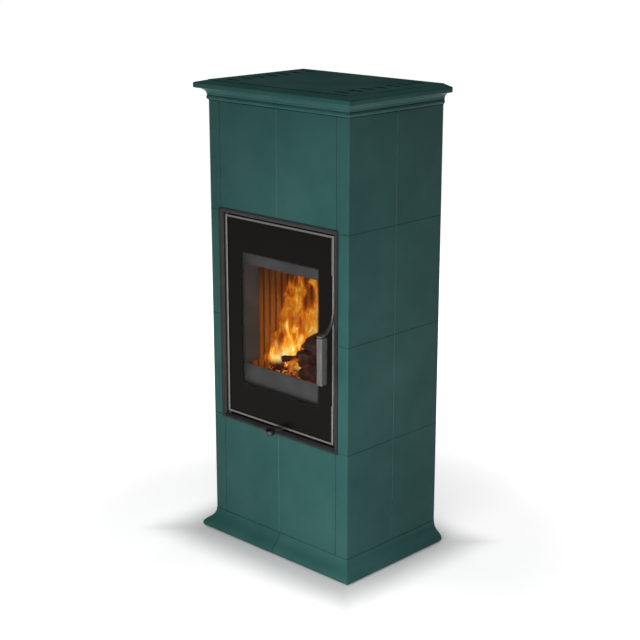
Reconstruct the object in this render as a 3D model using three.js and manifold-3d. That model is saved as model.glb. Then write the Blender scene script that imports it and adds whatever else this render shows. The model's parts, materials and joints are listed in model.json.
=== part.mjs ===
// A free-standing tiled stove: a glazed tile casing round a steel fire chamber with a glass door.
// Millimetres, +Z up. The tile face that holds the door looks towards -Y.
import * as THREE from 'three';
import { mergeVertices } from 'three/addons/utils/BufferGeometryUtils.js';
import Module from 'manifold-3d';

const wasm = await Module();
wasm.setup();

// ---------------------------------------------------------------- driving dimensions
const seat = 0.3; // clearance between two pieces that rest on each other
const bodyWidth = 560;
const bodyDepth = 397;
const wallDepth = 42; // depth of a tile with the hollow rim on its back

// tiles
const tileRows = 4;
const tileHeight = 320.2;
const tileJoint = 0.4;
const tileEdge = 1.2; // rounding of the level glazed edges
const tileCorner = 2.2; // rounding of the upright glazed edges
const cornerEdge = 4; // rounding of the upright corner of the casing
const cornerLeg = 46; // front leg of a corner tile
const sideLeg = 198.3; // side leg of a corner tile
const faceThickness = 13; // solid face of a tile
const rimThickness = 11; // rim on the back of a tile

// plinth: a cove that runs out into a rounded toe
const plinthHeight = 63;
const plinthReach = 31; // how far the toe stands proud of the tiles
const plinthCurve = [ // cove and toe from the floor up, as shares of the reach and of the height
  [0.74, 0], [0.95, 0.065], [1, 0.175], [0.97, 0.27], [0.855, 0.355], [0.645, 0.445],
  [0.435, 0.525], [0.26, 0.61], [0.13, 0.705], [0.042, 0.81], [0, 0.91],
];

// cornice: bead, cove, fascia, sloped top
const corniceReach = 31;
const beadReach = 4;
const beadHeight = 15;
const coveFoot = 17; // heights above the underside of the cornice
const coveTop = 35;
const fasciaTop = 52;
const corniceHeight = 58;
const fasciaEdge = 4;
const corniceWall = 20; // depth of the cornice above its foot
const corniceSole = 20; // height of the deeper foot that stands on the tiles

// top plate with its vent slots
const topThickness = 13;
const slotLength = 56;
const slotWidth = 12;
const slotCount = 7;
const slotInset = 64; // centre of a slot row from the side of the casing
const slotFirst = 40; // first slot centre behind the tile face
const slotLast = 45; // last slot centre before the back
const topProud = 1.4; // top plate above the cornice
const topReach = 0.6; // top plate beyond the tile faces

// steel surround: a flange over the tiles and a deep rim that lines the opening
const flangeSide = 8.4; // how far the flange covers the tiles
const flangeBottom = 6;
const flangeTop = 8.2;
const surroundProud = 3;
const bevelWidth = 8.5;
const bevelDepth = 5;
const pocketWall = 5;
const pocketSideGap = 3.7; // between the rim and the tiles
const pocketBottomGap = 4.5;
const pocketTopGap = 0.3;
const doorGap = 5; // between door and surround at the sides
const doorGapTop = 4;
const doorGapBottom = 7; // the air lever passes here

// door
const doorSetBack = 3; // door rim behind the tile face
const rimLip = 7; // width of the light rim seen from the front
const rimWeb = 4.3; // thickness of the rim behind its lip
const lipDepth = 3.2;
const rimDepth = 17;
const glassThickness = 4;
const glassOverlap = 1.6; // glass behind the lip
const retainerThickness = 3;
const retainerWidth = 52;
const sealWidth = 8;
const sealInset = 8; // centre line of the rope from the edge of the retainer
const sealCorner = 20; // radius of the rope's corners
const plateSetBack = 22.3; // face plate behind the tile face

// door hinge
const hingeInset = 5.3; // axis from the side of the door
const hingeSetBack = 7; // axis behind the tile face
const pinRadius = 2.5;
const pinClearance = 0.3;
const collarRadius = 4;

// handle
const shaftInset = 2.4; // axis from the right side of the door
const shaftSetBack = 6;
const shaftRadius = 2.6;
const shaftDrop = 113.5; // top of the shaft below the top of the door
const shaftRise = 116.5; // bottom of the shaft above the bottom of the door
const shaftPinRadius = 1.4;
const shaftPinLength = 8;
const notchClearance = 0.8;
const armDrop = 112; // root of the arm below the top of the shaft
const armFall = 52; // height that the arm loses on its way to the grip
const armRootWidth = 5.2;
const armRootThickness = 4;
const armEndThickness = 10.4; // over the middle of the grip
const armTipThickness = 4.6; // over the front of the grip
const armFlare = 1.6; // the arm widens with this power of the way along it
const armSide = 0.6; // edge of the arm inside the side of the grip
const gripWidth = 18.6;
const gripDepth = 24;
const gripLength = 139;
const gripDrop = 6; // top of the grip below the middle of the arm's end
const gripProud = 50; // front of the grip before the tile face
const gripOffset = -1.6; // middle of the grip from the shaft
const camReach = 7.1; // tip of a latch cam from the shaft axis
const camThickness = 4.4; // at the shaft
const camTipThickness = 3;
const camHeight = 6;
const camInset = 42.5; // cams from the ends of the shaft
const camClearance = 1;
const strikeHeight = 14;
const strikeFront = 4; // strike slot before and behind the shaft axis
const strikeBack = 6;

// fire opening in the face plate, and its side cheeks
const throatInset = 60.3; // sides of the fire opening inside the sides of the door
const throatSill = 161.5; // foot of the fire opening above the bottom of the door
const throatLintel = 143.5; // head of the fire opening below the top of the door
const throatDepth = 55;
const cheekFoot = 2; // how far the cheeks pass the foot and the head of the opening
const cheekHead = 20;

// fire chamber
const sheet = 3; // steel sheet
const faceSheet = 4; // face plate
const chamberInset = 27; // walls inside the door opening in the tiles
const chamberRise = 33; // floor above the foot of that opening
const chamberDrop = 4.8; // roof below the head of that opening
const rearSpace = 34; // behind the back wall
const floorSlots = 4; // air slots from the air box into the ash space
const floorSlotPitch = 50;
const floorSlotLength = 36;
const floorSlotWidth = 10;
const liningThickness = 22;
const liningLap = 15; // cheeks beside the front edge of the side lining
const ribPitch = 26;
const ribHeight = 5;
const ribGroove = 2.5; // half of the flat groove between two ribs
const smokeSpace = 152; // top of the lining below the roof
const fireBed = 84; // hearth below the foot of the fire opening
const hearthThickness = 18;
const baffleThickness = 15;
const smokeGap = 103.7; // front edge of the baffle behind the face plate
const grateWidth = 236;
const grateDepth = 186;
const grateThickness = 12;
const grateRebate = 6;
const grateLedge = 10;
const grateSlots = 8;
const grateSlotWidth = 10;
const panWidth = 200;
const panDepth = 262;
const panClearance = 5.7; // between the ash pan and the hearth
const panSetBack = 4; // ash pan behind the face plate
const panWall = 2;
const pullWidth = 60;
const flueRadius = 74;
const flueWall = 3;
const flueFlange = 14;
const flueFlangeThickness = 4;
const flueDrop = 78; // axis of the flue below the roof

// air slide
const leverOffset = -4; // middle of the lever from the middle of the stove
const leverWidth = 28;
const leverThickness = 3;
const leverRise = 1; // above the rim under it
const leverClearance = 0.6;
const slideTravel = 45; // each way
const slideSetBack = 3; // slide behind the face plate
const slidePlateWidth = 150;
const slidePlateDepth = 38;
const portCount = 4;
const portWidth = 14;
const portMargin = 8; // plate left before and behind a port
const airBoxDepth = 46;
const airBoxMargin = 10; // beyond the slide at the end of its travel
const knobRadius = 15;
const knobHeight = 15;
const knobEdge = 4;
const knobDrop = 3; // middle of the knob below the middle of the lever
const knobProud = 31; // middle of the knob before the tile face
const tangWidth = 10;
const tangLength = 6; // tang beyond the middle of the knob

// stand and rear panel
const standInset = 17; // stand plates inside the chamber walls
const standSheet = 4;
const standFront = 60;
const standBack = 23; // before the back wall
const rearSheet = 3;
const rearSetBack = 1;
const flueClearance = 8; // round the collar in the rear panel
const rearVents = 7;
const rearVentLength = 120;
const rearVentWidth = 10;
const rearVentPitch = 24;
const rearVentOffset = 110; // middle of a vent column from the middle of the stove
const rearVentLow = 120; // lowest vent of the lower group above the floor
const rearVentRise = 150; // lowest vent of the upper group above the flue axis

// ---------------------------------------------------------------- derived places
const halfWidth = bodyWidth / 2;
const rowPitch = tileHeight + tileJoint;
const corniceFoot = plinthHeight + tileJoint + tileRows * rowPitch;
const topFace = corniceFoot + corniceHeight + topProud;
const slotPitch = (bodyDepth - slotFirst - slotLast) / (slotCount - 1);

const openingHalf = halfWidth - cornerLeg;
const openingBottom = plinthHeight + tileJoint + rowPitch;
const openingTop = openingBottom + (tileRows - 2) * rowPitch - tileJoint;
const pocketHalf = openingHalf - pocketSideGap - pocketWall;
const pocketBottom = openingBottom + pocketBottomGap + pocketWall;
const pocketTop = openingTop - pocketTopGap - pocketWall;

const doorHalf = pocketHalf - doorGap;
const doorBottom = pocketBottom + doorGapBottom;
const doorTop = pocketTop - doorGapTop;
const doorCentre = (doorTop + doorBottom) / 2;
const doorHeight = doorTop - doorBottom;
const hingeX = hingeInset - doorHalf;
const glassFront = doorSetBack + lipDepth + seat;
const glassBack = glassFront + glassThickness;
const glassHalf = doorHalf - rimLip + glassOverlap;
const glassHeight = doorHeight - 2 * (rimLip - glassOverlap);

const shaftX = doorHalf - shaftInset;
const shaftTop = doorTop - shaftDrop;
const shaftBottom = doorBottom + shaftRise;
const armTop = shaftTop - armDrop;
const armFoot = armTop - armFall;
const gripTop = armFoot - gripDrop;
const gripMiddle = gripDepth / 2 - gripProud - shaftSetBack; // from the shaft axis
const camLevels = [shaftBottom + camInset, shaftTop - camInset];

const throatHalf = doorHalf - throatInset;
const throatBottom = doorBottom + throatSill;
const throatTop = doorTop - throatLintel;
const plateBack = plateSetBack + faceSheet;
const innerFront = plateBack + seat;
const chamberHalf = openingHalf - chamberInset;
const chamberBottom = openingBottom + chamberRise;
const chamberTop = openingTop - chamberDrop;
const chamberBack = bodyDepth - rearSpace;
const backInside = chamberBack - sheet;
const liningX = chamberHalf - sheet - seat;
const liningFront = plateBack + throatDepth - liningLap;
const liningTop = chamberTop - smokeSpace;
const hearthTop = throatBottom - fireBed;
const hearthBottom = hearthTop - hearthThickness;
const baffleFront = plateBack + smokeGap;
const baffleBottom = liningTop + seat;
const grateMiddle = (innerFront + backInside) / 2;
const panBottom = chamberBottom + sheet + seat;
const panTop = hearthBottom - panClearance;
const flueHeight = chamberTop - flueDrop;
const leverHeight = pocketBottom + leverRise; // underside of the lever
const depthShift = (gripProud - bodyDepth) / 2;

// ---------------------------------------------------------------- finishes
const finish = {
  glaze: new THREE.MeshStandardMaterial({ color: 0x2f5252, roughness: 0.18, metalness: 0 }),
  blackSteel: new THREE.MeshStandardMaterial({ color: 0x34363a, roughness: 0.55, metalness: 0.4 }),
  rimSteel: new THREE.MeshStandardMaterial({ color: 0x77736f, roughness: 0.4, metalness: 0.7 }),
  greySteel: new THREE.MeshStandardMaterial({ color: 0x4a4a4c, roughness: 0.6, metalness: 0.3 }),
  brushed: new THREE.MeshStandardMaterial({ color: 0x6d6c6a, roughness: 0.45, metalness: 0.6 }),
  iron: new THREE.MeshStandardMaterial({ color: 0x2a2624, roughness: 0.8, metalness: 0.3 }),
  glass: new THREE.MeshStandardMaterial({ color: 0x16171a, roughness: 0.05, metalness: 0 }),
  rope: new THREE.MeshStandardMaterial({ color: 0x2b2b2b, roughness: 0.95, metalness: 0 }),
  knob: new THREE.MeshStandardMaterial({ color: 0x101010, roughness: 0.35, metalness: 0 }),
};

// ---------------------------------------------------------------- solid helpers
const stove = new THREE.Group();
stove.position.y = depthShift;

function addPiece(name, geometry, material, parent = stove) {
  geometry.computeVertexNormals();
  const mesh = new THREE.Mesh(geometry, material);
  mesh.name = name;
  parent.add(mesh);
  return mesh;
}

function closedSurface(positions, indices) {
  const geometry = new THREE.BufferGeometry();
  geometry.setAttribute('position', new THREE.Float32BufferAttribute(positions, 3));
  geometry.setIndex(indices);
  return geometry;
}

function toSolid(geometry) {
  const bare = geometry.clone();
  bare.deleteAttribute('normal');
  bare.deleteAttribute('uv');
  const merged = mergeVertices(bare, 1e-4);
  const vertProperties = Float32Array.from(merged.attributes.position.array);
  const triVerts = Uint32Array.from(merged.index.array);
  return new wasm.Manifold(new wasm.Mesh({ numProp: 3, vertProperties, triVerts }));
}

function toGeometry(solid) {
  const mesh = solid.getMesh();
  return closedSurface(Array.from(mesh.vertProperties), Array.from(mesh.triVerts));
}

function cut(geometry, cutters) {
  return toGeometry(cutters.reduce((solid, cutter) => solid.subtract(toSolid(cutter)), toSolid(geometry)));
}

function join(geometries) {
  const [first, ...others] = geometries;
  return toGeometry(others.reduce((solid, next) => solid.add(toSolid(next)), toSolid(first)));
}

function block(x0, x1, y0, y1, z0, z1) {
  const box = new THREE.BoxGeometry(x1 - x0, y1 - y0, z1 - z0);
  return box.translate((x0 + x1) / 2, (y0 + y1) / 2, (z0 + z1) / 2);
}

// A path with each corner rounded by its own radius: corners are [x, y, radius], 0 for a sharp one.
function roundedOutline(corners, Kind = THREE.Shape) {
  const outline = new Kind();
  const count = corners.length;
  corners.forEach(([x, y, radius], i) => {
    const corner = new THREE.Vector2(x, y);
    const before = new THREE.Vector2(...corners[(i + count - 1) % count]);
    const after = new THREE.Vector2(...corners[(i + 1) % count]);
    const start = corner.clone().add(before.sub(corner).setLength(radius || 1e-9));
    const end = corner.clone().add(after.sub(corner).setLength(radius || 1e-9));
    if (i === 0) outline.moveTo(start.x, start.y);
    else outline.lineTo(start.x, start.y);
    if (radius > 0) outline.quadraticCurveTo(x, y, end.x, end.y);
  });
  outline.closePath();
  return outline;
}

function rectangle(x0, x1, y0, y1, radius, Kind = THREE.Shape) {
  return roundedOutline([[x0, y0, radius], [x1, y0, radius], [x1, y1, radius], [x0, y1, radius]], Kind);
}

// Plan outline (x, y) raised from z0 to z1, with its top and bottom edges rounded by bevel.
function raise(shape, z0, z1, bevel = 0, curveSegments = 2, bevelSegments = 2) {
  const geometry = new THREE.ExtrudeGeometry(shape, {
    depth: z1 - z0 - 2 * bevel,
    bevelEnabled: bevel > 0,
    bevelThickness: bevel,
    bevelSize: bevel,
    bevelOffset: -bevel,
    bevelSegments,
    curveSegments,
  });
  return geometry.translate(0, 0, z0 + bevel);
}

// Front outline (x, z) given depth from y0 back to y1.
function deepen(shape, y0, y1, curveSegments = 3) {
  const geometry = new THREE.ExtrudeGeometry(shape, { depth: y1 - y0, bevelEnabled: false, curveSegments });
  return geometry.rotateX(Math.PI / 2).translate(0, y1, 0);
}

// Joins rings of equal point count. A closed loft runs back to its first ring, an open one is capped.
function loft(rings, closed) {
  const size = rings[0].length;
  const positions = rings.flat().flatMap((point) => [point.x, point.y, point.z]);
  const indices = [];
  const spans = closed ? rings.length : rings.length - 1;
  for (let s = 0; s < spans; s += 1) {
    const near = s * size;
    const far = ((s + 1) % rings.length) * size;
    for (let i = 0; i < size; i += 1) {
      const j = (i + 1) % size;
      indices.push(near + i, near + j, far + j, near + i, far + j, far + i);
    }
  }
  if (!closed) capEnds(rings, indices);
  const geometry = closedSurface(positions, indices);
  if (signedVolume(geometry) < 0) {
    geometry.setIndex(indices.reverse());
  }
  return geometry;
}

function capEnds(rings, indices) {
  const size = rings[0].length;
  const [origin, toX, toY] = flatAxes(rings[0]);
  const flat = rings[0].map((point) => {
    const local = point.clone().sub(origin);
    return new THREE.Vector2(local.dot(toX), local.dot(toY));
  });
  const last = (rings.length - 1) * size;
  THREE.ShapeUtils.triangulateShape(flat, []).forEach(([a, b, c]) => {
    indices.push(c, b, a);
    indices.push(last + a, last + b, last + c);
  });
}

function flatAxes(ring) {
  const origin = ring[0];
  const normal = new THREE.Vector3();
  ring.forEach((point, i) => {
    const next = ring[(i + 1) % ring.length];
    normal.add(point.clone().sub(origin).cross(next.clone().sub(origin)));
  });
  normal.normalize();
  const toX = ring[1].clone().sub(origin).normalize();
  return [origin, toX, normal.clone().cross(toX)];
}

function signedVolume(geometry) {
  const place = geometry.attributes.position;
  const index = geometry.index;
  const [a, b, c] = [new THREE.Vector3(), new THREE.Vector3(), new THREE.Vector3()];
  let volume = 0;
  for (let i = 0; i < index.count; i += 3) {
    a.fromBufferAttribute(place, index.getX(i));
    b.fromBufferAttribute(place, index.getX(i + 1));
    c.fromBufferAttribute(place, index.getX(i + 2));
    volume += a.dot(b.cross(c)) / 6;
  }
  return volume;
}

// Points on part of an ellipse, from one angle to another, in degrees.
function arc(centreX, centreY, radiusX, radiusY, from, to, steps) {
  const points = [];
  for (let i = 0; i <= steps; i += 1) {
    const angle = THREE.MathUtils.degToRad(from + ((to - from) * i) / steps);
    points.push([centreX + radiusX * Math.cos(angle), centreY + radiusY * Math.sin(angle)]);
  }
  return points;
}

// Points all the way round an ellipse.
function ellipse(centreX, centreY, radiusX, radiusY, count) {
  return arc(centreX, centreY, radiusX, radiusY, 0, 360, count).slice(0, -1);
}

// Sweeps a moulding section (reach, height) along the front and one side, mitred at the corner.
function moulding(section, side) {
  const ring = (place) => section.map(([reach, z]) => new THREE.Vector3(...place(reach), z));
  const start = ring((reach) => [side * tileJoint / 2, -reach]);
  const corner = ring((reach) => [side * (halfWidth + reach), -reach]);
  const end = ring((reach) => [side * (halfWidth + reach), bodyDepth]);
  return loft([start, corner, end], false);
}

// Sweeps a section (offset, y) round a rectangle in the door plane, with mitred corners.
function mitredRing(section, halfX, halfZ, centreZ) {
  const corner = ([sx, sz]) => section.map(([offset, y]) => new THREE.Vector3(
    sx * (halfX + offset),
    y,
    centreZ + sz * (halfZ + offset),
  ));
  return loft([[1, -1], [1, 1], [-1, 1], [-1, -1]].map(corner), true);
}

// The same with rounded corners.
function roundedRing(section, halfX, halfZ, centreZ, radius, cornerSteps = 4) {
  const rings = [];
  [[1, -1], [1, 1], [-1, 1], [-1, -1]].forEach(([sx, sz], quarter) => {
    for (let i = 0; i <= cornerSteps; i += 1) {
      const angle = (Math.PI / 2) * (quarter - 1 + i / cornerSteps);
      const x = sx * (halfX - radius);
      const z = centreZ + sz * (halfZ - radius);
      rings.push(section.map(([offset, y]) => new THREE.Vector3(
        x + (radius + offset) * Math.cos(angle),
        y,
        z + (radius + offset) * Math.sin(angle),
      )));
    }
  });
  return loft(rings, true);
}

// ---------------------------------------------------------------- tile casing
function flatTileOutline(x0, x1, y0, y1, frontIsY) {
  const sharp = 0;
  const front = tileCorner;
  if (frontIsY) return roundedOutline([[x0, y0, front], [x1, y0, front], [x1, y1, sharp], [x0, y1, sharp]]);
  return roundedOutline([[x0, y0, sharp], [x1, y0, front], [x1, y1, front], [x0, y1, sharp]]);
}

function frontTile(x0, x1, z0) {
  const z1 = z0 + tileHeight;
  const slab = raise(flatTileOutline(x0, x1, 0, wallDepth, true), z0, z1, tileEdge);
  const hollow = block(x0 + rimThickness, x1 - rimThickness, faceThickness, wallDepth + 1,
    z0 + rimThickness, z1 - rimThickness);
  return cut(slab, [hollow]);
}

function sideTile(z0) {
  const z1 = z0 + tileHeight;
  const inner = halfWidth - wallDepth;
  const y0 = sideLeg + tileJoint;
  const slab = raise(flatTileOutline(inner, halfWidth, y0, bodyDepth, false), z0, z1, tileEdge);
  const hollow = block(inner - 1, halfWidth - faceThickness, y0 + rimThickness, bodyDepth - rimThickness,
    z0 + rimThickness, z1 - rimThickness);
  return cut(slab, [hollow]);
}

function cornerTile(z0) {
  const z1 = z0 + tileHeight;
  const inner = halfWidth - wallDepth;
  const legEnd = halfWidth - cornerLeg;
  const sharp = 0;
  const outline = roundedOutline([
    [legEnd, 0, tileCorner], [halfWidth, 0, cornerEdge], [halfWidth, sideLeg, tileCorner],
    [inner, sideLeg, sharp], [inner, wallDepth, sharp], [legEnd, wallDepth, sharp],
  ]);
  const slab = raise(outline, z0, z1, tileEdge);
  const hollow = block(inner - 1, halfWidth - faceThickness, wallDepth + 1, sideLeg - rimThickness,
    z0 + rimThickness, z1 - rimThickness);
  return cut(slab, [hollow]);
}

const sides = [['left', -1], ['right', 1]];

// A piece is drawn on the right and mirrored for the left.
function mirrored(geometry, side) {
  if (side > 0) return geometry;
  const flipped = mergeVertices(stripped(geometry), 1e-4);
  flipped.scale(-1, 1, 1);
  flipped.setIndex(Array.from(flipped.index.array).reverse());
  return flipped;
}

function stripped(geometry) {
  const bare = geometry.clone();
  bare.deleteAttribute('normal');
  bare.deleteAttribute('uv');
  return bare;
}

for (let row = 1; row <= tileRows; row += 1) {
  const z0 = plinthHeight + tileJoint + (row - 1) * rowPitch;
  sides.forEach(([name, side]) => {
    addPiece(`corner_tile_${name}_${row}`, mirrored(cornerTile(z0), side), finish.glaze);
    addPiece(`side_tile_${name}_${row}`, mirrored(sideTile(z0), side), finish.glaze);
  });
}

[['lower', 1], ['upper', tileRows]].forEach(([level, row]) => {
  const z0 = plinthHeight + tileJoint + (row - 1) * rowPitch;
  const outerEdge = halfWidth - cornerLeg - tileJoint;
  sides.forEach(([name, side]) => {
    const tile = frontTile(tileJoint / 2, outerEdge, z0);
    addPiece(`front_tile_${level}_${name}`, mirrored(tile, side), finish.glaze);
  });
});

// ---------------------------------------------------------------- plinth, cornice and top
const plinthSpline = new THREE.SplineCurve(plinthCurve.map(([out, up]) => new THREE.Vector2(out, up)));
const plinthSection = [
  [-wallDepth, 0],
  ...plinthSpline.getPoints(20).map(({ x, y }) => [plinthReach * Math.min(x, 1), plinthHeight * y]),
  [0, plinthHeight - tileEdge],
  [-tileEdge, plinthHeight],
  [-wallDepth, plinthHeight],
];

const ledge = topFace - topThickness - seat;
const corniceSection = [
  [-wallDepth, corniceFoot],
  [-tileEdge, corniceFoot],
  ...arc(0, corniceFoot + beadHeight / 2 + 1, beadReach, beadHeight / 2, -90, 60, 5),
  ...arc(corniceReach - fasciaEdge, corniceFoot + coveFoot, corniceReach - fasciaEdge - beadReach + 1,
    coveTop - coveFoot, 180, 90, 7),
  ...arc(corniceReach - fasciaEdge, corniceFoot + coveTop + fasciaEdge, fasciaEdge, fasciaEdge, -60, 0, 3),
  ...arc(corniceReach - fasciaEdge, corniceFoot + fasciaTop - fasciaEdge, fasciaEdge, fasciaEdge, 0, 70, 3),
  [1, corniceFoot + corniceHeight],
  [1, ledge],
  [-corniceWall, ledge],
  [-corniceWall, corniceFoot + corniceSole],
  [-wallDepth, corniceFoot + corniceSole],
];

sides.forEach(([name, side]) => {
  addPiece(`plinth_${name}`, moulding(plinthSection, side), finish.glaze);
  addPiece(`cornice_${name}`, moulding(corniceSection, side), finish.glaze);
});

function topPlate() {
  const shape = rectangle(-halfWidth - topReach, halfWidth + topReach, -topReach, bodyDepth, 1.5);
  sides.forEach(([, side]) => {
    for (let i = 0; i < slotCount; i += 1) {
      const x = side * (halfWidth - slotInset);
      const y = slotFirst + i * slotPitch;
      const reach = slotLength / 2;
      const half = slotWidth / 2;
      shape.holes.push(rectangle(x - reach, x + reach, y - half, y + half, half - 0.01, THREE.Path));
    }
  });
  return raise(shape, topFace - topThickness, topFace, 1, 2, 1);
}

addPiece('top_plate', topPlate(), finish.glaze);

// ---------------------------------------------------------------- surround and door
function pinBore(z, length) {
  const radius = pinRadius + pinClearance;
  const bore = new THREE.CylinderGeometry(radius, radius, length, 16);
  return bore.rotateX(Math.PI / 2).translate(hingeX, hingeSetBack, z);
}

function surroundFrame() {
  const halfX = openingHalf + flangeSide;
  const outline = rectangle(-halfX, halfX, openingBottom - flangeBottom, openingTop + flangeTop, 2);
  const flange = deepen(outline, -surroundProud, -seat, 2);
  const tube = block(-pocketHalf - pocketWall, pocketHalf + pocketWall, -surroundProud, plateSetBack - seat,
    pocketBottom - pocketWall, pocketTop + pocketWall);
  const pocket = block(-pocketHalf, pocketHalf, -surroundProud - 1, plateSetBack + 1,
    pocketBottom, pocketTop);
  const bevelRing = (grow, y) => [
    new THREE.Vector3(-pocketHalf - grow, y, pocketBottom - grow),
    new THREE.Vector3(pocketHalf + grow, y, pocketBottom - grow),
    new THREE.Vector3(pocketHalf + grow, y, pocketTop + grow),
    new THREE.Vector3(-pocketHalf - grow, y, pocketTop + grow),
  ];
  const slope = bevelWidth / bevelDepth;
  const bevel = loft([
    bevelRing(bevelWidth + slope, -surroundProud - 1),
    bevelRing(-slope, -surroundProud + bevelDepth + 1),
  ], false);
  const pinHole = (z) => pinBore(z, 2 * pocketWall + 2);
  const strike = (z) => block(pocketHalf - 1, pocketHalf + pocketWall + 1,
    shaftSetBack - strikeFront, shaftSetBack + strikeBack, z - strikeHeight / 2, z + strikeHeight / 2);
  return cut(join([flange, tube]), [
    pocket, bevel, pinHole(pocketTop + pocketWall), pinHole(pocketBottom - pocketWall),
    ...camLevels.map(strike),
  ]);
}

addPiece('surround_frame', surroundFrame(), finish.blackSteel);

const door = new THREE.Group();
stove.add(door);

function doorFrame() {
  const outer = rimLip;
  const front = doorSetBack;
  const section = [
    [0, front + 0.5], [0.5, front], [outer - 0.8, front], [outer, front + 0.8],
    [outer, front + rimDepth], [outer - rimWeb, front + rimDepth],
    [outer - rimWeb, front + lipDepth], [0, front + lipDepth],
  ];
  const ring = mitredRing(section, doorHalf - rimLip, doorHeight / 2 - rimLip, doorCentre);
  const notch = (depth, z0, z1) => block(doorHalf - rimLip - 1, doorHalf + 1,
    front - 1, shaftSetBack + depth, z0, z1);
  const camNotch = (level) => notch(camReach + camClearance,
    level - camHeight / 2 - camClearance, level + camHeight / 2 + camClearance);
  const shaftBore = new THREE.CylinderGeometry(shaftPinRadius + seat, shaftPinRadius + seat,
    shaftTop - shaftBottom + 2 * shaftPinLength + 1, 12);
  shaftBore.rotateX(Math.PI / 2).translate(shaftX, shaftSetBack, (shaftTop + shaftBottom) / 2);
  return cut(ring, [
    pinBore(doorTop, 2 * rimWeb),
    pinBore(doorBottom, 2 * rimWeb),
    notch(shaftRadius + notchClearance, shaftBottom, shaftTop),
    shaftBore,
    ...camLevels.map(camNotch),
  ]);
}

addPiece('door_frame', doorFrame(), finish.rimSteel, door);

const glassFoot = doorCentre - glassHeight / 2;
const glassShape = rectangle(-glassHalf, glassHalf, glassFoot, glassFoot + glassHeight, 1);
addPiece('door_glass', deepen(glassShape, glassFront, glassBack), finish.glass, door);

const retainerFront = glassBack + seat;
const retainerBack = retainerFront + retainerThickness;
const retainerSection = [
  [-retainerWidth, retainerFront], [0, retainerFront], [0, retainerBack], [-retainerWidth, retainerBack],
];
const retainer = mitredRing(retainerSection, glassHalf, glassHeight / 2, doorCentre);
addPiece('glass_retainer', retainer, finish.iron, door);

// The rope lies in the door and presses on the face plate.
const sealFront = retainerBack + seat;
const sealBack = plateSetBack - seat;
const sealSection = ellipse(0, (sealFront + sealBack) / 2, sealWidth / 2, (sealBack - sealFront) / 2, 8);
const sealHalfX = glassHalf - sealInset;
const sealHalfZ = glassHeight / 2 - sealInset;
const seal = roundedRing(sealSection, sealHalfX, sealHalfZ, doorCentre, sealCorner);
addPiece('door_seal', seal, finish.rope, door);

// Pins of the door hinge. The lower one has a collar that carries the door.
function turned(profile, segments = 24) {
  const lathe = new THREE.LatheGeometry(profile.map(([r, z]) => new THREE.Vector2(r, z)), segments);
  return lathe.rotateX(Math.PI / 2);
}

const pinDepth = rimWeb - seat;
const upperPin = turned([[0, doorTop - pinDepth], [pinRadius, doorTop - pinDepth],
  [pinRadius, pocketTop + pocketWall - seat], [0, pocketTop + pocketWall - seat]], 16);
addPiece('hinge_pin_upper', upperPin.translate(hingeX, hingeSetBack, 0), finish.greySteel);

const collarTop = doorBottom - seat;
const collarBottom = pocketBottom + seat;
const pinFoot = pocketBottom - pocketWall + seat;
const lowerPin = turned([[0, pinFoot], [pinRadius, pinFoot], [pinRadius, collarBottom],
  [collarRadius, collarBottom], [collarRadius, collarTop],
  [pinRadius, collarTop], [pinRadius, doorBottom + pinDepth], [0, doorBottom + pinDepth]], 16);
addPiece('hinge_pin_lower', lowerPin.translate(hingeX, hingeSetBack, 0), finish.greySteel);

// ---------------------------------------------------------------- handle
const handle = new THREE.Group();
handle.position.set(shaftX, shaftSetBack, 0);
door.add(handle);

function shaft() {
  const r = shaftRadius;
  const p = shaftPinRadius;
  const bottom = shaftBottom + seat;
  const top = shaftTop - seat;
  return turned([[0, bottom - shaftPinLength], [p, bottom - shaftPinLength], [p, bottom], [r, bottom],
    [r, top], [p, top], [p, top + shaftPinLength], [0, top + shaftPinLength]], 16);
}

// A latch cam: a rounded lobe that points from the shaft to the strike in the surround.
function cam(level) {
  const root = camThickness / 2;
  const tip = camTipThickness / 2;
  const lobe = roundedOutline([[-1, -root, 0], [camReach, -tip, 1], [camReach, tip, 1], [-1, root, 0]]);
  return raise(lobe, level - camHeight / 2, level + camHeight / 2);
}

// The arm leaves the shaft upright, swings out and widens until it lies on the grip.
function arm() {
  const steps = 9;
  const rings = [];
  const rootY = -armRootThickness / 2;
  const endWidth = gripWidth - 2 * armSide;
  for (let i = 0; i <= steps; i += 1) {
    const part = i / steps;
    const angle = part * (Math.PI / 2);
    const y = gripMiddle * (1 - Math.cos(angle)) + rootY * Math.cos(angle);
    const z = armTop - armFall * Math.sin(angle);
    const width = armRootWidth + (endWidth - armRootWidth) * part ** armFlare;
    const thickness = armRootThickness + (armEndThickness - armRootThickness) * part;
    rings.push(armRing(gripOffset * part, y, z, angle, width / 2, thickness / 2));
  }
  const tipY = gripMiddle - gripDepth / 2 + armSide;
  const tipZ = armFoot - (armEndThickness - armTipThickness) / 2;
  rings.push(armRing(gripOffset, tipY, tipZ, Math.PI / 2, endWidth / 2, armTipThickness / 2));
  return loft(rings, false);
}

function armRing(x, y, z, angle, halfWide, halfThick) {
  const outY = -Math.cos(angle);
  const outZ = Math.sin(angle);
  const corner = 0.7;
  const outline = [[1, -corner], [1, corner], [corner, 1], [-corner, 1], [-1, corner], [-1, -corner],
    [-corner, -1], [corner, -1]];
  return outline.map(([across, out]) => new THREE.Vector3(
    x + across * halfWide,
    y + out * halfThick * outY,
    z + out * halfThick * outZ,
  ));
}

addPiece('handle_lever', join([shaft(), arm(), ...camLevels.map(cam)]), finish.brushed, handle);

const gripShape = rectangle(gripOffset - gripWidth / 2, gripOffset + gripWidth / 2,
  gripMiddle - gripDepth / 2, gripMiddle + gripDepth / 2, 1.5);
addPiece('handle_grip', raise(gripShape, gripTop - gripLength, gripTop, 1.2), finish.brushed, handle);

// ---------------------------------------------------------------- air slide
const slide = new THREE.Group();
slide.position.x = leverOffset;
stove.add(slide);

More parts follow.
